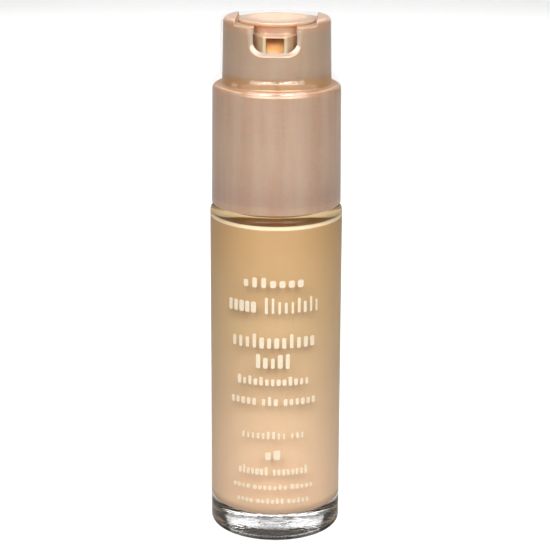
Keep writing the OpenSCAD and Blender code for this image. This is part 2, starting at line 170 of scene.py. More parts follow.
# Return spring
WIRE_R = 0.35
OPEN_COILS = 5
DEAD_COILS = 1  # closed coils at each end


# ---------------------------------------------------------------- mesh tools

def make_piece(name, points, faces, body, replaced, material, sharp_deg=None, normals=None):
    """A mesh from points in millimetres, riding on a body and standing for CAD nodes."""
    mesh = bpy.data.meshes.new(name)
    mesh.from_pydata((np.asarray(points, float) * MM).tolist(), [], faces)
    mesh.shade_smooth()
    if sharp_deg is not None:
        mesh.set_sharp_from_angle(angle=math.radians(sharp_deg))
    if normals is not None:
        mesh.normals_split_custom_set_from_vertices(np.asarray(normals).tolist())
    mesh.update()
    piece = bpy.data.objects.new(name, mesh)
    bpy.context.scene.collection.objects.link(piece)
    piece.data.materials.append(material)
    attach(piece, body)
    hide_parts(*replaced)
    return piece


def rounded(corners, steps=6):
    """An outline of (r, z) points from corners (r, z) or (r, z, radius). A radius makes its corner an arc."""
    out = []
    for i, corner in enumerate(corners):
        p = np.array(corner[:2], float)
        if len(corner) < 3:
            out.append(p)
            continue
        radius = corner[2]
        u = np.array(corners[i - 1][:2], float) - p
        v = np.array(corners[i + 1][:2], float) - p
        u /= np.linalg.norm(u)
        v /= np.linalg.norm(v)
        half = math.acos(np.clip(u @ v, -1, 1)) / 2
        centre = p + (u + v) / np.linalg.norm(u + v) * radius / math.sin(half)
        start = p + u * radius / math.tan(half) - centre
        turn = math.pi - 2 * half
        if u[0] * v[1] - u[1] * v[0] > 0:
            turn = -turn
        for k in range(steps + 1):
            a = turn * k / steps
            c, s = math.cos(a), math.sin(a)
            out.append(centre + np.array([start[0] * c - start[1] * s, start[0] * s + start[1] * c]))
    return np.array(out)


def lathe(outline, steps=192):
    """Points and faces of an outline turned about Z. The outline starts and ends on the axis."""
    ring = outline[1:-1]
    k = len(ring)
    angles = 2 * np.pi * np.arange(steps) / steps
    points = np.stack([
        np.outer(np.cos(angles), ring[:, 0]), np.outer(np.sin(angles), ring[:, 0]),
        np.tile(ring[:, 1], (steps, 1))], axis=-1).reshape(-1, 3)
    faces = []
    for i in range(steps):
        a, b = i * k, (i + 1) % steps * k
        for j in range(k - 1):
            faces.append((a + j, b + j, b + j + 1, a + j + 1))
    first, last = len(points), len(points) + 1
    points = np.vstack([points, [0, 0, outline[0][1]], [0, 0, outline[-1][1]]])
    for i in range(steps):
        a, b = i * k, (i + 1) % steps * k
        faces.append((first, b, a))
        faces.append((last, a + k - 1, b + k - 1))
    return points, faces


def sweep(rings):
    """Points and faces of a closed solid through rings of the same number of points."""
    k = len(rings[0])
    points = np.vstack(rings)
    faces = []
    for i in range(len(rings) - 1):
        for j in range(k):
            a, b = i * k + j, i * k + (j + 1) % k
            faces.append((a, b, b + k, a + k))
    faces.append(tuple(range(k - 1, -1, -1)))
    faces.append(tuple(range(len(points) - k, len(points))))
    return points, faces


def joined(*parts):
    """Several (points, faces) as one."""
    points, faces, base = [], [], 0
    for p, f in parts:
        points.append(p)
        faces += [tuple(i + base for i in face) for face in f]
        base += len(p)
    return np.vstack(points), faces


# ---------------------------------------------------------------- shapes from distance fields

def meet(a, b, r):
    """Both a and b, with the edge between them rounded by r."""
    return np.minimum(-r, np.maximum(a, b)) + np.hypot(np.maximum(a + r, 0), np.maximum(b + r, 0))


def join(a, b, r):
    """Either a or b, with the corner between them filled by a fillet of r."""
    return np.maximum(r, np.minimum(a, b)) - np.hypot(np.maximum(r - a, 0), np.maximum(r - b, 0))


def shifted(where, axis, steps):
    """Grid indices moved back by steps along the two axes that aren't axis."""
    moved = where.copy()
    moved[:, [k for k in range(3) if k != axis]] -= steps
    return moved


def slopes(field, p, h=0.01):
    """The field's gradient at points."""
    g = np.empty_like(p)
    for k in range(3):
        step = np.zeros(3)
        step[k] = h
        g[:, k] = (field(*(p + step).T) - field(*(p - step).T)) / (2 * h)
    return g


def settled(field, points, passes=3, furthest=0.08, least=0.2):
    """Points moved on to the surface itself, and its normals there. No slope counts as less than least."""
    for _ in range(passes):
        g = slopes(field, points)
        size = np.maximum((g * g).sum(1), least)
        move = -field(*points.T)[:, None] * g / size[:, None]
        points += np.clip(move, -furthest, furthest)
    g = slopes(field, points)
    return points, g / np.maximum(np.linalg.norm(g, axis=1), 1e-9)[:, None]


def nets(field, grid, turned=False):
    """Points, quads and normals of the surface where field is 0, on a grid of three axes.
    With turned, the axes are radius, angle and height, and the angle closes on itself."""
    def place(q):
        if turned:
            return q[..., 0] * np.cos(q[..., 1]), q[..., 0] * np.sin(q[..., 1]), q[..., 2]
        return q[..., 0], q[..., 1], q[..., 2]

    axes = [np.asarray(a, float) for a in grid]
    n = [len(a) for a in axes]
    values = field(*place(np.stack(np.meshgrid(*axes, indexing="ij"), axis=-1)))
    cells = [n[0] - 1, n[1] - 1, n[2] - 1]
    total = np.zeros(cells + [3])
    count = np.zeros(cells)
    crossings = []
    for axis in range(3):
        low = [slice(None)] * 3
        high = [slice(None)] * 3
        low[axis] = slice(0, n[axis] - 1)
        high[axis] = slice(1, n[axis])
        f0, f1 = values[tuple(low)], values[tuple(high)]
        where = np.argwhere((f0 < 0) != (f1 < 0))
        a0 = f0[tuple(where.T)]
        a1 = f1[tuple(where.T)]
        t = a0 / (a0 - a1)
        q = np.stack([axes[k][where[:, k]] for k in range(3)], axis=-1)
        q[:, axis] += t * (axes[axis][where[:, axis] + 1] - axes[axis][where[:, axis]])
        crossings.append((axis, where, a0 < 0))
        for steps in ((0, 0), (0, 1), (1, 0), (1, 1)):
            c = shifted(where, axis, steps)
            ok = np.all((c >= 0) & (c < cells), axis=1)
            np.add.at(total, tuple(c[ok].T), q[ok])
            np.add.at(count, tuple(c[ok].T), 1)
    used = count > 0
    index = np.full(cells, -1)
    index[used] = np.arange(used.sum())
    q = total[used] / count[used][:, None]
    quads = []
    for axis, where, inside in crossings:
        around = [shifted(where, axis, steps) for steps in ((0, 0), (1, 0), (1, 1), (0, 1))]
        seam = turned and axis != 1
        if seam:  # the last angle is the first one again
            for c in around:
                c[:, 1] %= cells[1]
        ok = np.all([np.all((c >= 0) & (c < cells), axis=1) for c in around], axis=0)
        if seam:
            ok &= where[:, 1] < n[1] - 1  # the seam's faces are made once
        ids = np.stack([index[tuple(np.where(ok[:, None], c, 0).T)] for c in around], axis=-1)[ok]
        flip = inside[ok] ^ (axis == 1)
        ids[~flip] = ids[~flip][:, ::-1]
        quads.append(ids)
    quads = np.vstack(quads)
    quads = quads[np.all(quads >= 0, axis=1)]
    points, normals = settled(field, np.stack(place(q), axis=-1))
    return points, quads.tolist(), normals


def spaced(*stretches):
    """Grid values from stretches (start, end, step)."""
    out = []
    for start, end, step in stretches:
        out.append(np.linspace(start, end, max(1, round((end - start) / step)), endpoint=False))
    return np.append(np.concatenate(out), stretches[-1][1])


# ---------------------------------------------------------------- materials

def new_material(name):
    """A material, its node tree and its Principled shader."""
    material = bpy.data.materials.new(name)
    material.use_nodes = True
    tree = material.node_tree
    return material, tree, tree.nodes["Principled BSDF"]


def feed(tree, made, socket, value):
    """Sets a socket to a value, or links it to another node's output, given as (node, output)."""
    target = made.inputs[socket]
    if isinstance(value, tuple) and isinstance(value[0], bpy.types.Node):
        tree.links.new(value[0].outputs[value[1]], target)
    elif target.type == "RGBA":
        target.default_value = (*value, 1)
    else:
        target.default_value = value


def fit(tree, made, **values):
    """Sets a node's sockets and properties by name, with _ for a socket name's spaces."""
    for key, value in values.items():
        socket = key.replace("_", " ")
        if socket in made.inputs:
            feed(tree, made, socket, value)
        else:
            setattr(made, key, value)
    return made


def node(tree, kind, **values):
    return fit(tree, tree.nodes.new("ShaderNode" + kind), **values)


def maths(tree, operation, *values):
    made = node(tree, "Math", operation=operation)
    for i, value in enumerate(values):
        feed(tree, made, i, value)
    return made, "Value"


def noise(tree, at, scale, detail, **more):
    return node(tree, "TexNoise", Vector=at, Scale=scale, Detail=detail, **more), "Fac"


def bump(tree, height, strength, distance):
    """A normal that a height tilts. The distance is in metres."""
    return node(tree, "Bump", Height=height, Strength=strength, Distance=distance), "Normal"


def remap(tree, source, low, high):
    """A 0 to 1 value spread from low to high."""
    return node(tree, "MapRange", Value=source, To_Min=low, To_Max=high), "Result"


def ramp(tree, source, *stops):
    """A colour ramp from stops (position, colour or grey level)."""
    made = node(tree, "ValToRGB", Fac=source)
    elements = made.color_ramp.elements
    while len(elements) < len(stops):
        elements.new(0.5)
    for element, (position, colour) in zip(elements, stops):
        element.position = position
        element.color = (*colour, 1) if isinstance(colour, tuple) else (colour, colour, colour, 1)
    return made, "Color"


def linear(r, g, b):
    """A colour given as 0 to 255 display values, in linear light."""
    out = []
    for c in (r, g, b):
        c /= 255
        out.append(c / 12.92 if c <= 0.04045 else ((c + 0.055) / 1.055) ** 2.4)
    return tuple(out)


def place_nodes(tree):
    """Object coordinates in millimetres."""
    coords = node(tree, "TexCoord")
    return node(tree, "Mapping", Vector=(coords, "Object"), Scale=(1 / MM, 1 / MM, 1 / MM)), "Vector"


def round_parts(tree, at):
    """X, Y, Z and the distance from the bottle's axis."""
    parts = node(tree, "SeparateXYZ", Vector=at)
    flat = node(tree, "CombineXYZ", X=(parts, "X"), Y=(parts, "Y"))
    radius = node(tree, "VectorMath", operation="LENGTH", Vector=(flat, "Vector"))
    return (parts, "X"), (parts, "Y"), (parts, "Z"), (radius, "Value")


def mask(tree, source, *stops):
    """A mask that follows a number in millimetres, from stops (millimetres, value)."""
    low, high = stops[0][0], stops[-1][0]
    share = node(tree, "MapRange", Value=source, From_Min=low, From_Max=high)
    return ramp(tree, (share, "Result"), *(((at - low) / (high - low), value) for at, value in stops))


def product(tree, first, *others):
    for other in others:
        first = maths(tree, "MULTIPLY", first, other)
    return first


def blend(tree, share, first, second):
    """A mix of two colours by a mask or a number."""
    made = node(tree, "Mix", data_type="RGBA")
    for socket, value in ((0, share), (6, first), (7, second)):  # a colour mix's factor, A and B
        feed(tree, made, socket, value)
    return made, 2  # its colour result


def mixed_shader(tree, share, first, second):
    made = node(tree, "MixShader", Fac=share)
    feed(tree, made, 1, first)
    feed(tree, made, 2, second)
    return made, "Shader"


def show(tree, shader):
    """Makes a shader the material's surface."""
    fit(tree, tree.nodes["Material Output"], Surface=shader)


def pearl_material():
    """Rose-beige translucent plastic with fine pearl flakes, flow marks and a few dark specks. Its colour
    carries
    painted light and shade: a painted amber glow on the shelf between the tiers, painted light on the upper
    tier and inside the notch, a painted highlight on the notch's bevel, and painted shade towards the lower
    tier's foot."""
    material, tree, shader = new_material("pearl_plastic")
    at = place_nodes(tree)
    x, y, z, radius = round_parts(tree, at)
    side = maths(tree, "ABSOLUTE", x)
    front = mask(tree, y, (-BOSS_ROOT_Y, 1), (1 - BOSS_ROOT_Y, 0))
    bore_r, notch_z = UPPER_BORE_R + 0.03, NOTCH_LOW_Z - 1.85  # where the notch's painted light and painted highlight begin

    flakes = node(tree, "TexVoronoi", Vector=at, Scale=7.0)
    clouds = noise(tree, at, 0.09, 3.0)
    body = ramp(tree, clouds, (0.3, linear(192, 155, 126)), (0.7, linear(208, 173, 147)))
    sparkle = ramp(tree, (flakes, "Color"), (0.0, linear(178, 138, 110)), (1.0, linear(226, 192, 168)))
    drawn = node(tree, "Mapping", Vector=at, Scale=(0.3, 0.3, 0.02))
    flow = ramp(tree, noise(tree, (drawn, "Vector"), 1.0, 3.0), (0.4, 0.0), (0.7, 0.45))
    # painted glow: the shelf between the tiers is tinted amber, standing in for light bouncing in the step's
    # corner
    shelf = product(
        tree, mask(tree, z, (TIER_Z - 0.3, 0), (TIER_Z, 0.5), (TIER_Z + 1.6, 0.7), (TIER_Z + 3, 0)),
        mask(tree, radius, (UPPER_BORE_R, 0), (UPPER_BORE_R + 0.3, 1)))
    # painted shade: the lower tier is tinted darker towards its foot
    painted_foot_shade = product(
        tree, mask(tree, radius, (TIER_TOP_R - 0.7, 0), (TIER_TOP_R - 0.4, 1)),
        mask(tree, z, (TIER_LOW_Z, 0.3), (TIER_LOW_Z + 3.5, 0.35), (TIER_LOW_Z + 7, 0.15),
             (TIER_LOW_Z + 14, 0)))
    # painted light: the upper tier is tinted lighter above the step
    painted_top_light = mask(tree, z, (TIER_Z + 2.5, 0), (TIER_Z + 5, 0.35))
    # painted light: the recess inside the notch, round the nozzle boss, is tinted pale where it lies in shade
    inside = product(
        tree, front, mask(tree, side, (MOUTH_HALF_W - 0.1, 0), (MOUTH_HALF_W + 0.05, 1), (5.0, 1), (5.4, 0)),
        mask(tree, z, (notch_z, 0), (notch_z + 0.5, 1), (notch_z + 4.5, 1), (LAND_Z - 1.25, 0.2),
             (LAND_Z - 0.45, 0)),
        mask(tree, radius, (bore_r, 1), (bore_r + 0.15, 0)))
    # painted highlight: the notch's bevel is tinted pale, as if it mirrored the lamps
    bevel = product(
        tree, front, mask(tree, side, (NOTCH_HALF_W + 2, 1), (NOTCH_HALF_W + 2.3, 0)),
        mask(tree, z, (notch_z, 0), (notch_z + 0.5, 0.6), (LAND_Z - 0.65, 0.6), (LAND_Z - 0.25, 0)),
        mask(tree, radius, (bore_r, 0), (bore_r + 0.15, 1), (UPPER_TOP_R - 0.2, 1), (UPPER_TOP_R, 0)))
    cells = node(tree, "TexVoronoi", Vector=at, Scale=0.28)
    specks = product(tree, ramp(tree, (cells, "Distance"), (0.04, 0.7), (0.07, 0.0)),
                     ramp(tree, (cells, "Color"), (0.55, 0.0), (0.6, 1.0)))
    colour = blend(tree, 0.4, body, sparkle)
    # flow marks and specks are the plastic's own; the other tints are painted glow, painted light, painted
    # highlight and painted shade
    for share, tint in (
            (flow, (219, 194, 172)), (shelf, (224, 160, 100)), (painted_foot_shade, (146, 118, 104)),
            (painted_top_light, (232, 188, 162)), (inside, (255, 220, 182)), (bevel, (244, 212, 194)),
            (specks, (120, 86, 60))):
        colour = blend(tree, share, colour, linear(*tint))
    fit(tree, shader, Base_Color=colour, Metallic=0.35, Roughness=remap(tree, clouds, 0.28, 0.38),
        Subsurface_Weight=0.75, Subsurface_Radius=(1.0, 0.5, 0.25), Subsurface_Scale=0.005, Coat_Weight=0.3,
        Coat_Roughness=0.08, Specular_IOR_Level=0.35, Normal=bump(tree, (flakes, "Distance"), 0.06, 0.00003))
    return material


def liquid_material():
    """Opaque golden-beige liquid, a little pinker towards the bottom. Under the glass shoulder its top has
    painted light
    and shade: an amber ring of painted glow, a dark ring of painted shade and a cream ring of painted light;
    its underside has painted shade."""
    material, tree, shader = new_material("foundation_liquid")
    at = place_nodes(tree)
    _, _, z, radius = round_parts(tree, at)
    height = node(tree, "MapRange", Value=z, From_Min=FLOOR_Z, From_Max=CAVITY_TOP)
    drift = maths(tree, "MULTIPLY_ADD", noise(tree, at, 0.05, 2.0, Distortion=0.6), 0.1, (height, "Result"))
    colour = ramp(
        tree, drift, (0.17, (0.7, 0.47, 0.3)), (0.35, (0.64, 0.435, 0.265)), (0.5, (0.57, 0.385, 0.22)),
        (0.7, (0.53, 0.355, 0.18)), (0.98, (0.47, 0.285, 0.125)))
    # painted light and shade under the glass shoulder: an amber ring of painted glow, a dark ring of painted
    # shade, a cream ring of painted light
    rings = blend(tree, mask(tree, radius, (9.8, 0), (10.1, 1)), linear(204, 134, 70), linear(164, 120, 62))
    rings = blend(tree, mask(tree, radius, (10.9, 0), (11.1, 1)), rings, linear(255, 234, 196))
    top = mask(tree, z, (CAVITY_TOP - 0.7, 0), (CAVITY_TOP - 0.5, 0.75), (CAVITY_TOP - 0.3, 0.75),
               (CAVITY_TOP - 0.1, 1))
    # painted shade: the underside is tinted nearly black
    under = mask(tree, z, (FLOOR_Z, 0.85), (FLOOR_Z + 0.1, 0))
    colour = blend(tree, top, colour, rings)
    colour = blend(tree, under, colour, (0.1, 0.09, 0.065))
    fit(tree, shader, Base_Color=colour, Roughness=0.35, Subsurface_Weight=0.15,
        Subsurface_Radius=(0.0012, 0.0008, 0.0004), Subsurface_Scale=1.0)
    return material


def glass_material():
    """Clear glass with moulding ripples, faint smears and a pebbled underside. Its heel carries a painted
    dark reflection and its shoulder a painted warm glow. Its outer face mirrors less than real glass, and
    shadows and soft light pass straight through to the liquid."""
    material, tree, shader = new_material("clear_glass")
    at = place_nodes(tree)
    _, _, z, radius = round_parts(tree, at)
    wall = mask(tree, radius, (12.8, 0), (13.1, 1))  # the outer part of the glass
    # painted dark reflection: the outer glass at the heel is tinted nearly black
    painted_dark_heel = product(tree, wall, mask(tree, z, (0, 1), (1.1, 0.8), (1.3, 0)))
    # painted warm glow: the outer glass at the shoulder is tinted cream
    shoulder = product(tree, wall, mask(tree, z, (SHOULDER_Z - 1.2, 0), (SHOULDER_Z - 0.9, 1)))
    under = product(tree, mask(tree, z, (0.9, 1), (1.0, 0)), mask(tree, radius, (12.4, 1), (12.6, 0)))
    tint = blend(tree, painted_dark_heel, (1.0, 1.0, 1.0), (0.035, 0.034, 0.028))
    tint = blend(tree, shoulder, tint, (1.0, 0.92, 0.76))
    pebbles = product(tree, under, noise(tree, at, 0.9, 2.0))
    height = maths(tree, "MULTIPLY_ADD", noise(tree, at, 0.12, 1.0), 0.1, pebbles)
    smears = ramp(tree, noise(tree, at, 1.5, 2.0), (0.45, 0.0), (0.9, 0.12))
    shared = {"Roughness": smears, "Normal": bump(tree, height, 0.6, 0.00025), "IOR": 1.52}
    fit(tree, shader, Base_Color=tint, Transmission_Weight=1.0, **shared)
    bend = node(tree, "BsdfRefraction", Color=tint, **shared)
    facing = node(tree, "NewGeometry")
    body = mixed_shader(tree, remap(tree, (facing, "Backfacing"), 0.6, 0.0), (shader, "BSDF"), (bend, "BSDF"))
    clear = node(tree, "BsdfTransparent", Color=(0.96, 0.96, 0.955))
    path = node(tree, "LightPath")
    soft = maths(tree, "MAXIMUM", (path, "Is Shadow Ray"), (path, "Is Diffuse Ray"))
    show(tree, mixed_shader(tree, soft, body, (clear, "BSDF")))
    return material


def film_material():
    """Thin clear shrink film: it mirrors more towards its edges, with faint haze and fine ripples."""
    material, tree, shader = new_material("shrink_film")
    ripples = noise(tree, place_nodes(tree), 0.55, 4.0, Roughness=0.6)
    fit(tree, shader, Base_Color=(0.92, 0.88, 0.86), Roughness=0.07, Metallic=1.0,
        Normal=bump(tree, ripples, 0.3, 0.0002))
    clear = node(tree, "BsdfTransparent", Color=(0.985, 0.98, 0.98))
    facing = node(tree, "LayerWeight", Blend=0.5)
    haze = remap(tree, maths(tree, "POWER", (facing, "Facing"), 5.0), 0.05, 0.065)
    show(tree, mixed_shader(tree, haze, (clear, "BSDF"), (shader, "BSDF")))
    return material


def ink_material():
    """Cream screen-printed ink, slightly grainy."""
    material, tree, shader = new_material("cream_ink")
    grain = noise(tree, place_nodes(tree), 4.0, 3.0)
    colour = ramp(tree, grain, (0.3, linear(208, 192, 166)), (0.7, linear(222, 208, 184)))
    fit(tree, shader, Base_Color=colour, Roughness=0.45, Normal=bump(tree, grain, 0.2, 0.00003))
    return material


def resin_material(name, colour, other, roughness, glow=0.0, depths=(0.001, 0.001, 0.001)):
    """Moulded resin: faint clouds of colour, a fine grain, and a glow from the light that soaks in."""
    material, tree, shader = new_material(name)
    at = place_nodes(tree)
    tint = ramp(tree, noise(tree, at, 0.4, 3.0), (0.3, colour), (0.7, other))
    grain = noise(tree, at, 8.0, 2.0)
    fit(tree, shader, Base_Color=tint, Roughness=remap(tree, grain, roughness - 0.06, roughness + 0.06),
        Normal=bump(tree, grain, 0.15, 0.00002), Subsurface_Weight=glow, Subsurface_Radius=depths)
    return material


def steel_material():
    """Drawn stainless steel, with fine draw marks."""
    material, tree, shader = new_material("bright_steel")
    marks = noise(tree, place_nodes(tree), 6.0, 2.0)
    tint = ramp(tree, marks, (0.3, (0.55, 0.56, 0.58)), (0.7, (0.68, 0.69, 0.7)))
    fit(tree, shader, Base_Color=tint, Metallic=1.0, Roughness=remap(tree, marks, 0.15, 0.3))
    return material


PEARL = pearl_material()
LIQUID = liquid_material()
GLASS = glass_material()
FILM = film_material()
INK = ink_material()
STEEL = steel_material()
NATURAL = resin_material("natural_resin", (0.72, 0.72, 0.68), (0.8, 0.8, 0.76), 0.4, glow=0.3)
WHITE = resin_material("white_resin", (0.8, 0.8, 0.78), (0.87, 0.87, 0.86), 0.35)
# the outlet tongue's translucent resin is amber, its colour partly painted glow of light bouncing in the
# mouth
GLOW_AMBER = resin_material(
    "amber_glow_resin", linear(222, 160, 92), linear(236, 182, 118), 0.3, glow=0.5, depths=(0.002, 0.001, 0.0004))


# ---------------------------------------------------------------- bottle

def thread_part():
    """The neck's helical thread, fading into the wall at both ends."""
    steps, fade, embed, root_w, crest_w, bevel = 48, 7, 0.2, 1.9, 1.0, 0.1
    n = int(THREAD_TURNS * steps)
    rings = []
    for i in range(n + 1):
        share = min(1, i / fade, (n - i) / fade)
        share = share * share * (3 - 2 * share)
        z = THREAD_START_Z + PITCH * i / steps
        tip = NECK_R - embed / 2 + (THREAD_CREST_R - NECK_R + embed / 2) * share
        half = [(NECK_R - embed, root_w / 2), (tip - 1.5 * bevel, crest_w / 2 + bevel),
                (tip, crest_w / 2 - bevel)]
        section = [(r, -dz) for r, dz in half] + half[::-1]
        a = 2 * math.pi * i / steps
        rings.append(np.array([(r * math.cos(a), r * math.sin(a), z + dz) for r, dz in section]))
    return sweep(rings)


def build_glass():
    """The bottle's shell, from the punt round the outside, over the neck's rim and down the cavity."""
    outline = rounded([
        (0, PUNT_H), (PUNT_R * 0.6, PUNT_H * 0.8, 3), (PUNT_R, 0, 1.5), (KNURL_IN_R + 0.1, 0),
        (KNURL_MID_R, 0), (KNURL_OUT_R - 0.1, 0), (GLASS_R, 0, BASE_ROUND),
        (GLASS_R, SHOULDER_Z, SHOULDER_ROUND), (NECK_R, SHOULDER_Z, NECK_FILLET), (NECK_R, BEAD_Z, 0.2),
        (BEAD_R, BEAD_Z + BEAD_SLOPE, 0.3), (BEAD_R, BEAD_Z + BEAD_H - BEAD_SLOPE, 0.3),
        (NECK_R, BEAD_Z + BEAD_H, 0.2), (NECK_R, NECK_TOP, 0.4), (NECK_BORE_R, NECK_TOP, 0.3),
        (NECK_BORE_R, CAVITY_TOP, 0.4), (CAVITY_R, CAVITY_TOP, CAVITY_CORNER),
        (CAVITY_R, FLOOR_Z, FLOOR_ROUND), (0, FLOOR_Z)], steps=8)
    body, body_faces = lathe(outline, steps=KNURLS * 4)
    r, a = np.hypot(body[:, 0], body[:, 1]), np.arctan2(body[:, 1], body[:, 0])
    ring = (body[:, 2] < KNURL_H) & (r > KNURL_IN_R) & (r < KNURL_OUT_R)
    body[:, 2] += np.where(ring, 0.5 * KNURL_H * (1 + np.cos(KNURLS * a)), 0)
    points, faces = joined((body, body_faces), thread_part())
    make_piece("glass_shell", points, faces, "bottle", ["glass_bottle"], GLASS, sharp_deg=50)


def build_liquid():
    """The liquid, with room left for the pump's housing, its ball chamber and the dip tube. It reaches a hair
    into the glass, so that no air gap shows between them."""
    sink, room, neck_gap, chamber_r = 0.03, 0.3, 0.25, 2.7
    cone_top, cone_low = CAVITY_TOP - 2.3, CAVITY_TOP - 5.3
    r, top, low = CAVITY_R + sink, CAVITY_TOP + sink, FLOOR_Z - sink
    housing_r = NECK_BORE_R - neck_gap + room
    socket_r, socket_z = chamber_r + room, housing_low[2] - room
    tube_r, tube_z = tube_high[0] + room, tube_low[2] - room
    outline = rounded([
        (0, low), (r, low, FLOOR_ROUND), (r, top, CAVITY_CORNER), (housing_r, top, 0.2),
        (housing_r, cone_top), (socket_r, cone_low), (socket_r, socket_z), (tube_r, socket_z),
        (tube_r, tube_z), (0, tube_z)], steps=8)
    points, faces = lathe(outline)
    make_piece("liquid_body", points, faces, "bottle", ["foundation_liquid"], LIQUID, sharp_deg=50)


# ---------------------------------------------------------------- print

INK_T = 0.05
TALL, TALL_SHARE = 1.35, 0.25  # a quarter of the marks are this much taller
WORD_GAP = 0.55  # of a mark's height
CORNER = 0.32  # of a mark's shorter side
# Rows of plain marks: height of the row, height of a mark, width of the row straight across, marks in each
# word and the share of each word that is inked.
PRINT_ROWS = [
    (59.9, 1.6, 13.6, [7], [0.62]),
    (54.6, 2.6, 19.6, [5, 9], [0.74, 0.42]),
    (46.6, 2.4, 18.2, [12], [0.58]),
    (42.0, 2.4, 8.0, [5], [0.58]),
    (37.6, 1.5, 15.8, [13], [0.62]),
    (33.0, 1.5, 18.6, [5, 3, 6], [0.62, 0.62, 0.62]),
    (25.1, 1.3, 14.0, [9, 3], [0.46, 0.46]),
    (20.4, 1.7, 3.8, [2], [0.7]),
    (16.6, 1.4, 15.4, [7, 8], [0.62, 0.62]),
    (12.9, 0.9, 17.8, [4, 7, 5], [0.64, 0.64, 0.64]),
    (9.6, 0.9, 16.2, [4, 6, 5], [0.64, 0.64, 0.64]),
]


def ink_block(s, z, w, h, corner):
    """One block on the glass: a slab with round corners, s along the glass and z up."""
    r_out, r_in, bevel = GLASS_R + INK_T, GLASS_R - 0.02, 0.02
    arc = corner * (1 - np.cos(np.linspace(0, np.pi / 2, 5)))
    middle = np.linspace(s - w / 2 + corner, s + w / 2 - corner, max(2, int(w / 0.4) + 1))
    cuts = np.unique(np.concatenate([s - w / 2 + arc, middle, s + w / 2 - arc]).round(5))
    rings = []
    for c in cuts:
        into = max(0.0, corner - (c - (s - w / 2)), corner - ((s + w / 2) - c))
        drop = corner - math.sqrt(max(corner ** 2 - into ** 2, 0.0))
        top, low = z + h / 2 - drop, z - h / 2 + drop
        a = c / GLASS_R - math.pi / 2
        rings.append(np.array([
            (r * math.cos(a), r * math.sin(a), at)
            for r, at in ((r_in, top), (r_out, top - bevel), (r_out, low + bevel), (r_in, low))]))
    return sweep(rings)


def build_print():
    """Rows of plain blocks, uneven in width and height, that stand for the printed words."""
    rng = np.random.default_rng(11)
    parts = []
    for z, h, width, words, inked in PRINT_ROWS:
        reach = 2 * GLASS_R * math.asin(width / 2 / GLASS_R)
        space = WORD_GAP * h
        pitch = (reach - space * (len(words) - 1)) / sum(words)
        s = -reach / 2
        for count, share in zip(words, inked):
            for _ in range(count):
                w = pitch * share * rng.uniform(0.8, 1.15)
                tall = TALL if rng.random() < TALL_SHARE else 1.0
                block_h = h * tall * rng.uniform(0.95, 1.05)
                parts.append(ink_block(s + pitch / 2, z + (tall - 1) * h / 2, w, block_h, min(w, h) * CORNER))
                s += pitch
            s += space
    points, faces = joined(*parts)
    make_piece("ink_print", points, faces, "bottle", ["front_print"], INK, sharp_deg=40)


# ---------------------------------------------------------------- closure

def shroud_field(x, y, z):
    """Distance to the shroud: two tiers, two horns, the channel, the well, the notch and the hollow."""
    r = np.hypot(x, y)
    low_wall = r - (TIER_LOW_R + (TIER_TOP_R - TIER_LOW_R) * (z - TIER_LOW_Z) / (TIER_Z - TIER_LOW_Z))
    lower = meet(meet(low_wall, z - TIER_Z, TIER_ROUND), TIER_LOW_Z - z, FOOT_EDGE)
    up_wall = r - (UPPER_LOW_R + (UPPER_TOP_R - UPPER_LOW_R) * (z - TIER_Z) / (HORN_Z - TIER_Z))
    upper = meet(up_wall, z - HORN_Z, HORN_ROUND)
    body = join(lower, upper, STEP_FILLET)
    outside_channel = join(CHANNEL_HALF_W - np.abs(x), z - LAND_Z, SOFT_EDGE)
    body = meet(body, outside_channel, CHANNEL_EDGE)
    hollow = np.minimum(np.maximum(r - UPPER_BORE_R, z - (LAND_Z - LAND_T)), r - WELL_R)
    hollow = np.minimum(hollow, np.maximum(r - (CAP_BORE_R - 0.3), z - (TIER_Z - SHELF_T)))
    hollow = np.minimum(hollow, np.maximum(r - CAP_BORE_R, z - CAP_TOP_Z))
    body = meet(body, -hollow, SMALL_EDGE)
    depth = np.clip((r - UPPER_BORE_R) / (UPPER_LOW_R - UPPER_BORE_R), -1, 1)
    rise = np.clip((z - NOTCH_LOW_Z) / (HORN_Z - NOTCH_LOW_Z), 0, 1)
    half_w = NOTCH_HALF_W + (NOTCH_BEVEL + NOTCH_FLARE * rise) * np.maximum(depth, 0)
    low_z = NOTCH_IN_Z + (NOTCH_LOW_Z - NOTCH_IN_Z) * depth
    side_lean, foot_lean = 0.6, 0.7  # both faces slant, so a true distance is this much shorter
    notch = meet((np.abs(x) - half_w) * side_lean, (low_z - z) * foot_lean, NOTCH_ROUND * side_lean)
    notch = np.maximum(notch, y)
    return meet(body, -notch, FINE_EDGE)


def build_shroud():
    """The shroud's surface, on a grid that is fine where it has edges."""
    inner_r, cell = 8.2, 0.14
    angles = np.linspace(0, 2 * np.pi, 385)
    heights = spaced(
        (TIER_LOW_Z - 0.2, TIER_LOW_Z + 0.6, 0.1), (TIER_LOW_Z + 0.6, CAP_TOP_Z - 0.5, 1.5),
        (CAP_TOP_Z - 0.5, CAP_TOP_Z + 0.5, 0.25), (CAP_TOP_Z + 0.5, TIER_Z - 2.0, 1.0),
        (TIER_Z - 2.0, TIER_Z + 1.0, 0.12), (TIER_Z + 1.0, NOTCH_LOW_Z - 0.8, 0.7),
        (NOTCH_LOW_Z - 0.8, HORN_Z + 0.3, cell))
    radii = np.arange(inner_r, TIER_LOW_R + 0.4, cell)
    points, faces, normals = nets(shroud_field, (radii, angles, heights), turned=True)
    make_piece("shroud_shell", points, faces, "closure", ["shroud"], PEARL, normals=normals)


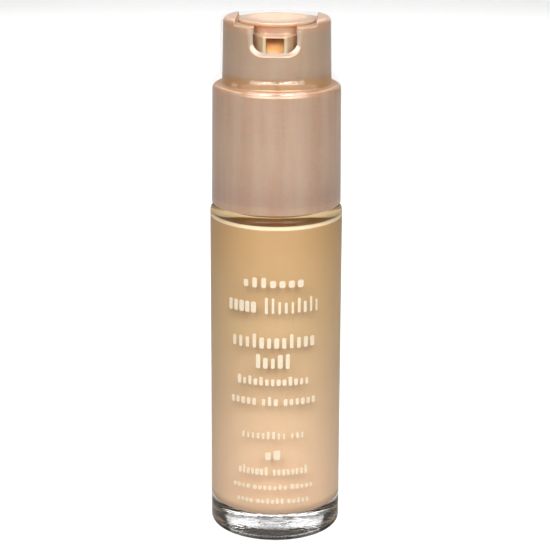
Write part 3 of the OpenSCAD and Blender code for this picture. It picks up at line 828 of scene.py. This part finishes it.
def head_field(x, y, z):
    """Distance to the pump head: dished button, skirt, nozzle boss with its mouth, and the stem's socket."""
    r = np.hypot(x, y)
    button = meet(meet(r - BUTTON_R, z - HEAD_Z, SOFT_EDGE), HEAD_Z - RIM_H - z, SMALL_EDGE)
    skirt = np.maximum(np.maximum(r - SKIRT_R, z - HEAD_Z + 0.3), HEAD_LOW_Z - z)
    body = join(button, skirt, SMALL_EDGE)
    run = np.clip((-y - BOSS_ROOT_Y) / (REACH - BOSS_ROOT_Y), -1, 1)
    half_w = BOSS_ROOT_HALF_W + (BOSS_HALF_W - BOSS_ROOT_HALF_W) * run
    boss = meet((np.abs(x) - half_w) * BOSS_LEAN, -y - REACH, SOFT_EDGE)
    boss = meet(meet(boss, z - BOSS_TOP_Z, SOFT_EDGE), BOSS_LOW_Z - z, EDGE)
    boss = np.maximum(boss, y + BOSS_IN_Y)
    body = join(body, boss, SOFT_EDGE)
    hollow = np.maximum(r - (SKIRT_R - SKIRT_WALL), z - PLATE_LOW_Z)
    body = meet(body, -hollow, FINE_EDGE)
    below_plate = z - PLATE_LOW_Z - 0.2
    duct = np.maximum(np.maximum(np.abs(x) - BOSS_HALF_W, np.maximum(BOSS_LOW_Z - z, below_plate)),
                      np.maximum(y, -y - SKIRT_R + 0.3))
    socket = np.maximum(r - SOCKET_R, np.maximum(HEAD_LOW_Z + 0.2 - z, below_plate))
    body = join(body, np.minimum(duct, socket), EDGE)
    radius = (DISH_R ** 2 + DISH_DEPTH ** 2) / (2 * DISH_DEPTH)
    dish = np.sqrt(x * x + y * y + (z - (HEAD_Z - DISH_DEPTH + radius)) ** 2) - radius
    body = meet(body, -dish, EDGE)
    mouth = np.maximum(meet(np.abs(x) - MOUTH_HALF_W, MOUTH_LOW_Z - z, MOUTH_ROUND), z - MOUTH_TOP_Z)
    mouth = np.maximum(mouth, y + REACH - MOUTH_DEPTH - INSERT_DEPTH)
    body = meet(body, -mouth, FINE_EDGE)
    bores = np.minimum(np.maximum(r - STEM_R, z - STEM_TOP_Z - 0.05), np.maximum(r - DUCT_R, z - DUCT_Z))
    cross = np.maximum(np.hypot(x, z - DUCT_Z) - DUCT_R, y)
    return np.maximum(body, -np.minimum(bores, cross))


def build_head():
    """The pump head's surface, on an even grid with a margin round it."""
    step, margin = 0.16, 0.4
    grid = [np.arange(low - margin, high + margin, step)
            for low, high in ((-BUTTON_R, BUTTON_R), (-REACH, BUTTON_R), (HEAD_LOW_Z, HEAD_Z))]
    points, faces, normals = nets(head_field, grid)
    make_piece("head_shell", points, faces, "head", ["pump_head"], PEARL, normals=normals)


def build_insert():
    """Outlet tongue: a trough that climbs back from the mouth's lower lip and leaves a slit at its top."""
    across, up, gap, slit, trough = 17, 21, 0.02, 0.45, 0.35
    lip_y, back_y, rise_y = -REACH + 0.3, -REACH + MOUTH_DEPTH + INSERT_DEPTH, 3.2
    front, back = [], []
    for j in range(up):
        t = j / (up - 1)
        z = MOUTH_LOW_Z + gap + (MOUTH_TOP_Z - slit - MOUTH_LOW_Z - gap) * t
        drop = max(0.0, MOUTH_ROUND - (z - MOUTH_LOW_Z))
        w = MOUTH_HALF_W - gap - (MOUTH_ROUND - math.sqrt(max(MOUTH_ROUND ** 2 - drop ** 2, 0)))
        for i in range(across):
            u = 2 * i / (across - 1) - 1
            front.append((w * u, lip_y + rise_y * t ** 1.4 + trough * (1 - u * u) * (1 - t), z))
            back.append((w * u, back_y, z))
    count = across * up
    faces = []
    for j in range(up - 1):
        for i in range(across - 1):
            a = j * across + i
            faces.append((a, a + 1, a + 1 + across, a + across))
            faces.append((count + a + across, count + a + 1 + across, count + a + 1, count + a))
    rim = list(range(across)) + [j * across + across - 1 for j in range(1, up)]
    rim += [count - 1 - i for i in range(1, across)] + [j * across for j in range(up - 2, 0, -1)]
    for k, a in enumerate(rim):
        b = rim[(k + 1) % len(rim)]
        faces.append((b, a, count + a, count + b))
    make_piece("outlet_tongue", front + back, faces, "head", ["nozzle_insert"], GLOW_AMBER, sharp_deg=40)


def build_spring():
    """Round wire wound between the housing's floor and the stem's foot, with closed ends ground flat."""
    low, high = spring_low[2], spring_high[2]
    coil_r = spring_high[0] - WIRE_R
    turns = OPEN_COILS + 2 * DEAD_COILS
    rise = (high - low - 2 * WIRE_R - 4 * WIRE_R * DEAD_COILS) / OPEN_COILS
    steps, sides = 36, 14
    b = 2 * np.pi * np.arange(sides) / sides
    rings = []
    for c in np.linspace(0, turns, turns * steps + 1):
        z = low + WIRE_R + 2 * WIRE_R * min(c, DEAD_COILS) + rise * np.clip(c - DEAD_COILS, 0, OPEN_COILS)
        z += 2 * WIRE_R * max(c - DEAD_COILS - OPEN_COILS, 0)
        a = 2 * math.pi * c
        r = coil_r + WIRE_R * np.cos(b)
        wire_z = np.clip(z + WIRE_R * np.sin(b), low, high)
        rings.append(np.stack([r * math.cos(a), r * math.sin(a), wire_z], axis=-1)[::-1])
    points, faces = sweep(rings)
    spring = make_piece(
        "return_spring", points, faces, "closure", ["main_spring"], STEEL, sharp_deg=60)
    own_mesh(spring)


# ---------------------------------------------------------------- shrink band

BAND_GAP = 0.07
BAND_T = 0.05
CRINKLES = 30
BLISTERS = 70
BLISTER_H = 0.06


def film_side(shelf, corner, foot, bend, end):
    """The film's outline from its lower edge up. The corner, the foot and the bend are (r, z, radius) and the
    shelf is (z, radius), all counted from the shroud's own corners."""
    shelf_r, top_z = TIER_TOP_R + BAND_GAP, HORN_Z - 0.25
    return rounded([
        (TIER_LOW_R + BAND_GAP, band_low[2]), (shelf_r, TIER_Z + shelf[0], shelf[1]),
        (shelf_r + corner[0], TIER_Z + corner[1], corner[2]),
        (UPPER_LOW_R + foot[0], TIER_Z + foot[1], foot[2]),
        (UPPER_TOP_R + bend[0], top_z + bend[1], bend[2]), (UPPER_TOP_R + end, top_z)])


def build_band():
    """Clear film over the closure: it bridges the step, hugs one side of the upper tier and stands off the
    other, with crinkles, small blisters and wavy edges."""
    tight = film_side((-0.4, 1.4), (-0.5, 0.6, 0.5), (0.15, 2.6, 1.2), (0.14, -1.2, 0.5), 0.06)
    loose = film_side((0.2, 1.0), (-0.4, 0.9, 0.5), (0.45, 2.4, 1.0), (0.6, -1.6, 0.8), 0.3)
    close = film_side((0.1, 1.5), (-0.9, 0.7, 0.6), (0.15, 1.7, 1.6), (0.14, -1.2, 0.5), 0.06)
    top_z = tight[-1][1]
    rows, steps = 190, 300
    share = np.linspace(0, 1, rows)

    def spread(outline):
        """The outline's r and z at even steps along it."""
        lengths = np.concatenate([[0], np.cumsum(np.hypot(*np.diff(outline, axis=0).T))])
        return [np.interp(share * lengths[-1], lengths, outline[:, k]) for k in (0, 1)]

    (tight_r, tight_z), (loose_r, loose_z), (close_r, close_z) = spread(tight), spread(loose), spread(close)
    a = np.linspace(0, 2 * np.pi, steps, endpoint=False)
    slack = (0.5 - 0.5 * np.cos(a)) ** 1.5  # none at +X, most at -X
    front = np.maximum(-np.sin(a), 0) ** 2 * 0.8  # most at -Y, none at the back
    rr = tight_r[:, None] + (loose_r - tight_r)[:, None] * slack
    zz = tight_z[:, None] + (loose_z - tight_z)[:, None] * slack
    rr = rr + (close_r[:, None] - rr) * front
    zz = zz + (close_z[:, None] - zz) * front
    aa = np.broadcast_to(a, rr.shape)
    rng = np.random.default_rng(7)
    crinkle = np.zeros_like(rr)
    for _ in range(CRINKLES):
        turns, climb, phase = rng.integers(8, 60), rng.normal(0, 0.6), rng.uniform(0, 2 * np.pi)
        crinkle += rng.uniform(0.3, 1.0) * np.sin(turns * aa + climb * zz + phase)
    near_step = np.exp(-((zz - TIER_Z - 1.0) / 3.0) ** 2)
    rough_side = np.exp(-((aa - np.pi * 1.93) / 0.35) ** 2)
    rr = rr + np.maximum(crinkle / 6, 0) ** 2 * (0.012 + 0.05 * near_step + 0.03 * rough_side)
    for _ in range(BLISTERS):
        ba, bz = rng.uniform(0, 2 * np.pi), rng.uniform(band_low[2] + 2, top_z - 2)
        size = rng.uniform(0.25, 0.5)
        away = (((aa - ba + np.pi) % (2 * np.pi) - np.pi) * rr) ** 2 + (zz - bz) ** 2
        rr = rr + BLISTER_H * np.exp(-away / size ** 2)
    waves = 0.12 * np.sin(3 * aa + 0.4) + 0.08 * np.sin(7 * aa + 1.0) + 0.05 * np.sin(17 * aa)
    zz = zz + np.clip(1 - (zz - zz[0]) / 6.0, 0, 1) * (waves + 0.25)
    top_waves = 0.1 * np.sin(5 * aa) + 0.06 * np.sin(13 * aa + 2) - 0.16
    zz = zz + np.clip(1 - (zz[-1] - zz) / 4.0, 0, 1) * top_waves
    outer = np.stack([(rr + BAND_T) * np.cos(aa), (rr + BAND_T) * np.sin(aa), zz], axis=-1).reshape(-1, 3)
    inner = np.stack([rr * np.cos(aa), rr * np.sin(aa), zz], axis=-1).reshape(-1, 3)
    count = rows * steps
    faces = []
    for i in range(rows - 1):
        for j in range(steps):
            p, q = i * steps + j, i * steps + (j + 1) % steps
            faces.append((p, q, q + steps, p + steps))
            faces.append((count + p + steps, count + q + steps, count + q, count + p))
    last = (rows - 1) * steps
    for j in range(steps):
        p, q = j, (j + 1) % steps
        faces.append((q, p, count + p, count + q))
        faces.append((last + p, last + q, count + last + q, count + last + p))
    points = np.vstack([outer, inner])
    make_piece("film_skin", points, faces, "band", ["shrink_band"], FILM, sharp_deg=70)


# ---------------------------------------------------------------- CAD nodes that show as they are

def dress_nodes():
    """Gives the CAD nodes that show their materials."""
    wears = {
        "neck_gasket": NATURAL, "screw_cap": WHITE, "pump_housing": NATURAL, "lock_ring": WHITE,
        "dip_tube": NATURAL, "inlet_ball": STEEL, "stem": WHITE, "piston": NATURAL, "outlet_ball": STEEL,
    }
    for name, material in wears.items():
        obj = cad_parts[name]
        if not obj.material_slots:
            obj.data.materials.append(material)
        for s in obj.material_slots:
            s.material = material


# ---------------------------------------------------------------- studio

# Camera: places in metres, angles in radians, and the lens and its sensor in millimetres
AZIMUTH = math.radians(2.4)  # the camera stands this far round from the nozzle, towards +X
DISTANCE = 0.39864
CAMERA_Z = 0.17347
PITCH_DOWN = 0.2823
ROLL = 0.0042
LENS = 122.27
SENSOR_W = 36
SHIFT_X = -0.0018
CLIP_START = 0.01
FLOOR_SIZE = 6
AIM = Vector((0, 0, 0.07))  # the bottle's middle, which the area lights face
DOWN = (1, 0, 0, 0)  # a light's turn that faces it straight down
WORLD_STRENGTH = 0.015
# Area lights: name, azimuth from the camera's side and elevation in degrees, distance, width and height in
# metres, watts, and either the beam's spread in degrees or DOWN.
LIGHTS = [
    ("softbox_left", -30, 36, 0.9, 0.78, 0.8, 1.68, 80),
    ("top_left", -34, 54, 1.2, 0.7, 1.4, 2.5, DOWN),
    ("softbox_right", 30, 36, 0.9, 0.78, 0.8, 1.78, 80),
    ("top_right", 34, 54, 1.2, 0.7, 1.4, 2.5, DOWN),
    ("lamp_left", -20, 30, 0.8, 0.2, 0.2, 0.7, 180),
    ("lamp_right", 20, 30, 0.8, 0.2, 0.2, 0.8, 180),
    ("card_left", 157, 16, 0.8, 0.36, 0.4, 0.3, 180),
    ("card_middle", 180, 16, 0.8, 0.24, 0.4, 0.12, 180),
    ("card_right", -157, 16, 0.8, 0.36, 0.4, 0.3, 180),
    ("softbox_back", 180, 44, 1.35, 1.7, 1.6, 14, DOWN),
]


def build_camera():
    """A camera at the photograph's viewing angle."""
    data = bpy.data.cameras.new("camera")
    data.lens = LENS
    data.sensor_width = SENSOR_W
    data.clip_start = CLIP_START
    data.shift_x = SHIFT_X
    camera = bpy.data.objects.new("camera", data)
    camera.location = (DISTANCE * math.sin(AZIMUTH), -DISTANCE * math.cos(AZIMUTH), CAMERA_Z)
    camera.rotation_mode = "QUATERNION"
    turn = Euler((math.pi / 2 - PITCH_DOWN, 0, AZIMUTH)).to_quaternion()
    camera.rotation_quaternion = turn @ Euler((0, 0, ROLL)).to_quaternion()
    bpy.context.scene.collection.objects.link(camera)
    bpy.context.scene.camera = camera


def area_light(name, azimuth_deg, elevation_deg, distance, width, height, watts, beam):
    """One row of LIGHTS."""
    data = bpy.data.lights.new(name, "AREA")
    data.shape = "RECTANGLE"
    data.size, data.size_y = width, height
    data.energy = watts
    lamp = bpy.data.objects.new(name, data)
    a = AZIMUTH + math.radians(azimuth_deg)
    e = math.radians(elevation_deg)
    away = Vector((math.sin(a) * math.cos(e), -math.cos(a) * math.cos(e), math.sin(e)))
    lamp.location = AIM + distance * away
    lamp.rotation_mode = "QUATERNION"
    if beam == DOWN:
        lamp.rotation_quaternion = DOWN
    else:
        lamp.rotation_quaternion = (lamp.location - AIM).to_track_quat("Z", "Y")
        data.spread = math.radians(beam)
    bpy.context.scene.collection.objects.link(lamp)


def floor_material():
    """Pale floor that gives the object less light from below than it shows."""
    material, tree, shader = new_material("pale_floor")
    path = node(tree, "LightPath")
    seen = maths(tree, "MAXIMUM", (path, "Is Camera Ray"), (path, "Is Transmission Ray"))
    fit(tree, shader, Base_Color=blend(tree, seen, (0.42, 0.42, 0.415), (0.93, 0.93, 0.925)), Roughness=0.7,
        Specular_IOR_Level=0.2)
    return material


def build_studio():
    """Floor, lights and world."""
    mesh = bpy.data.meshes.new("floor")
    half = FLOOR_SIZE / 2
    corners = [(-half, -half, 0), (half, -half, 0), (half, half, 0), (-half, half, 0)]
    mesh.from_pydata(corners, [], [(0, 1, 2, 3)])
    mesh.materials.append(floor_material())
    floor = bpy.data.objects.new("floor", mesh)
    bpy.context.scene.collection.objects.link(floor)
    for light in LIGHTS:
        area_light(*light)
    world = bpy.data.worlds.new("studio")
    world.use_nodes = True
    fit(world.node_tree, world.node_tree.nodes["Background"], Color=(1, 1, 1), Strength=WORLD_STRENGTH)
    bpy.context.scene.world = world
    bpy.context.scene.view_settings.view_transform = "Standard"


build_glass()
build_liquid()
build_print()
build_shroud()
build_head()
build_insert()
build_spring()
build_band()
dress_nodes()
build_camera()
build_studio()
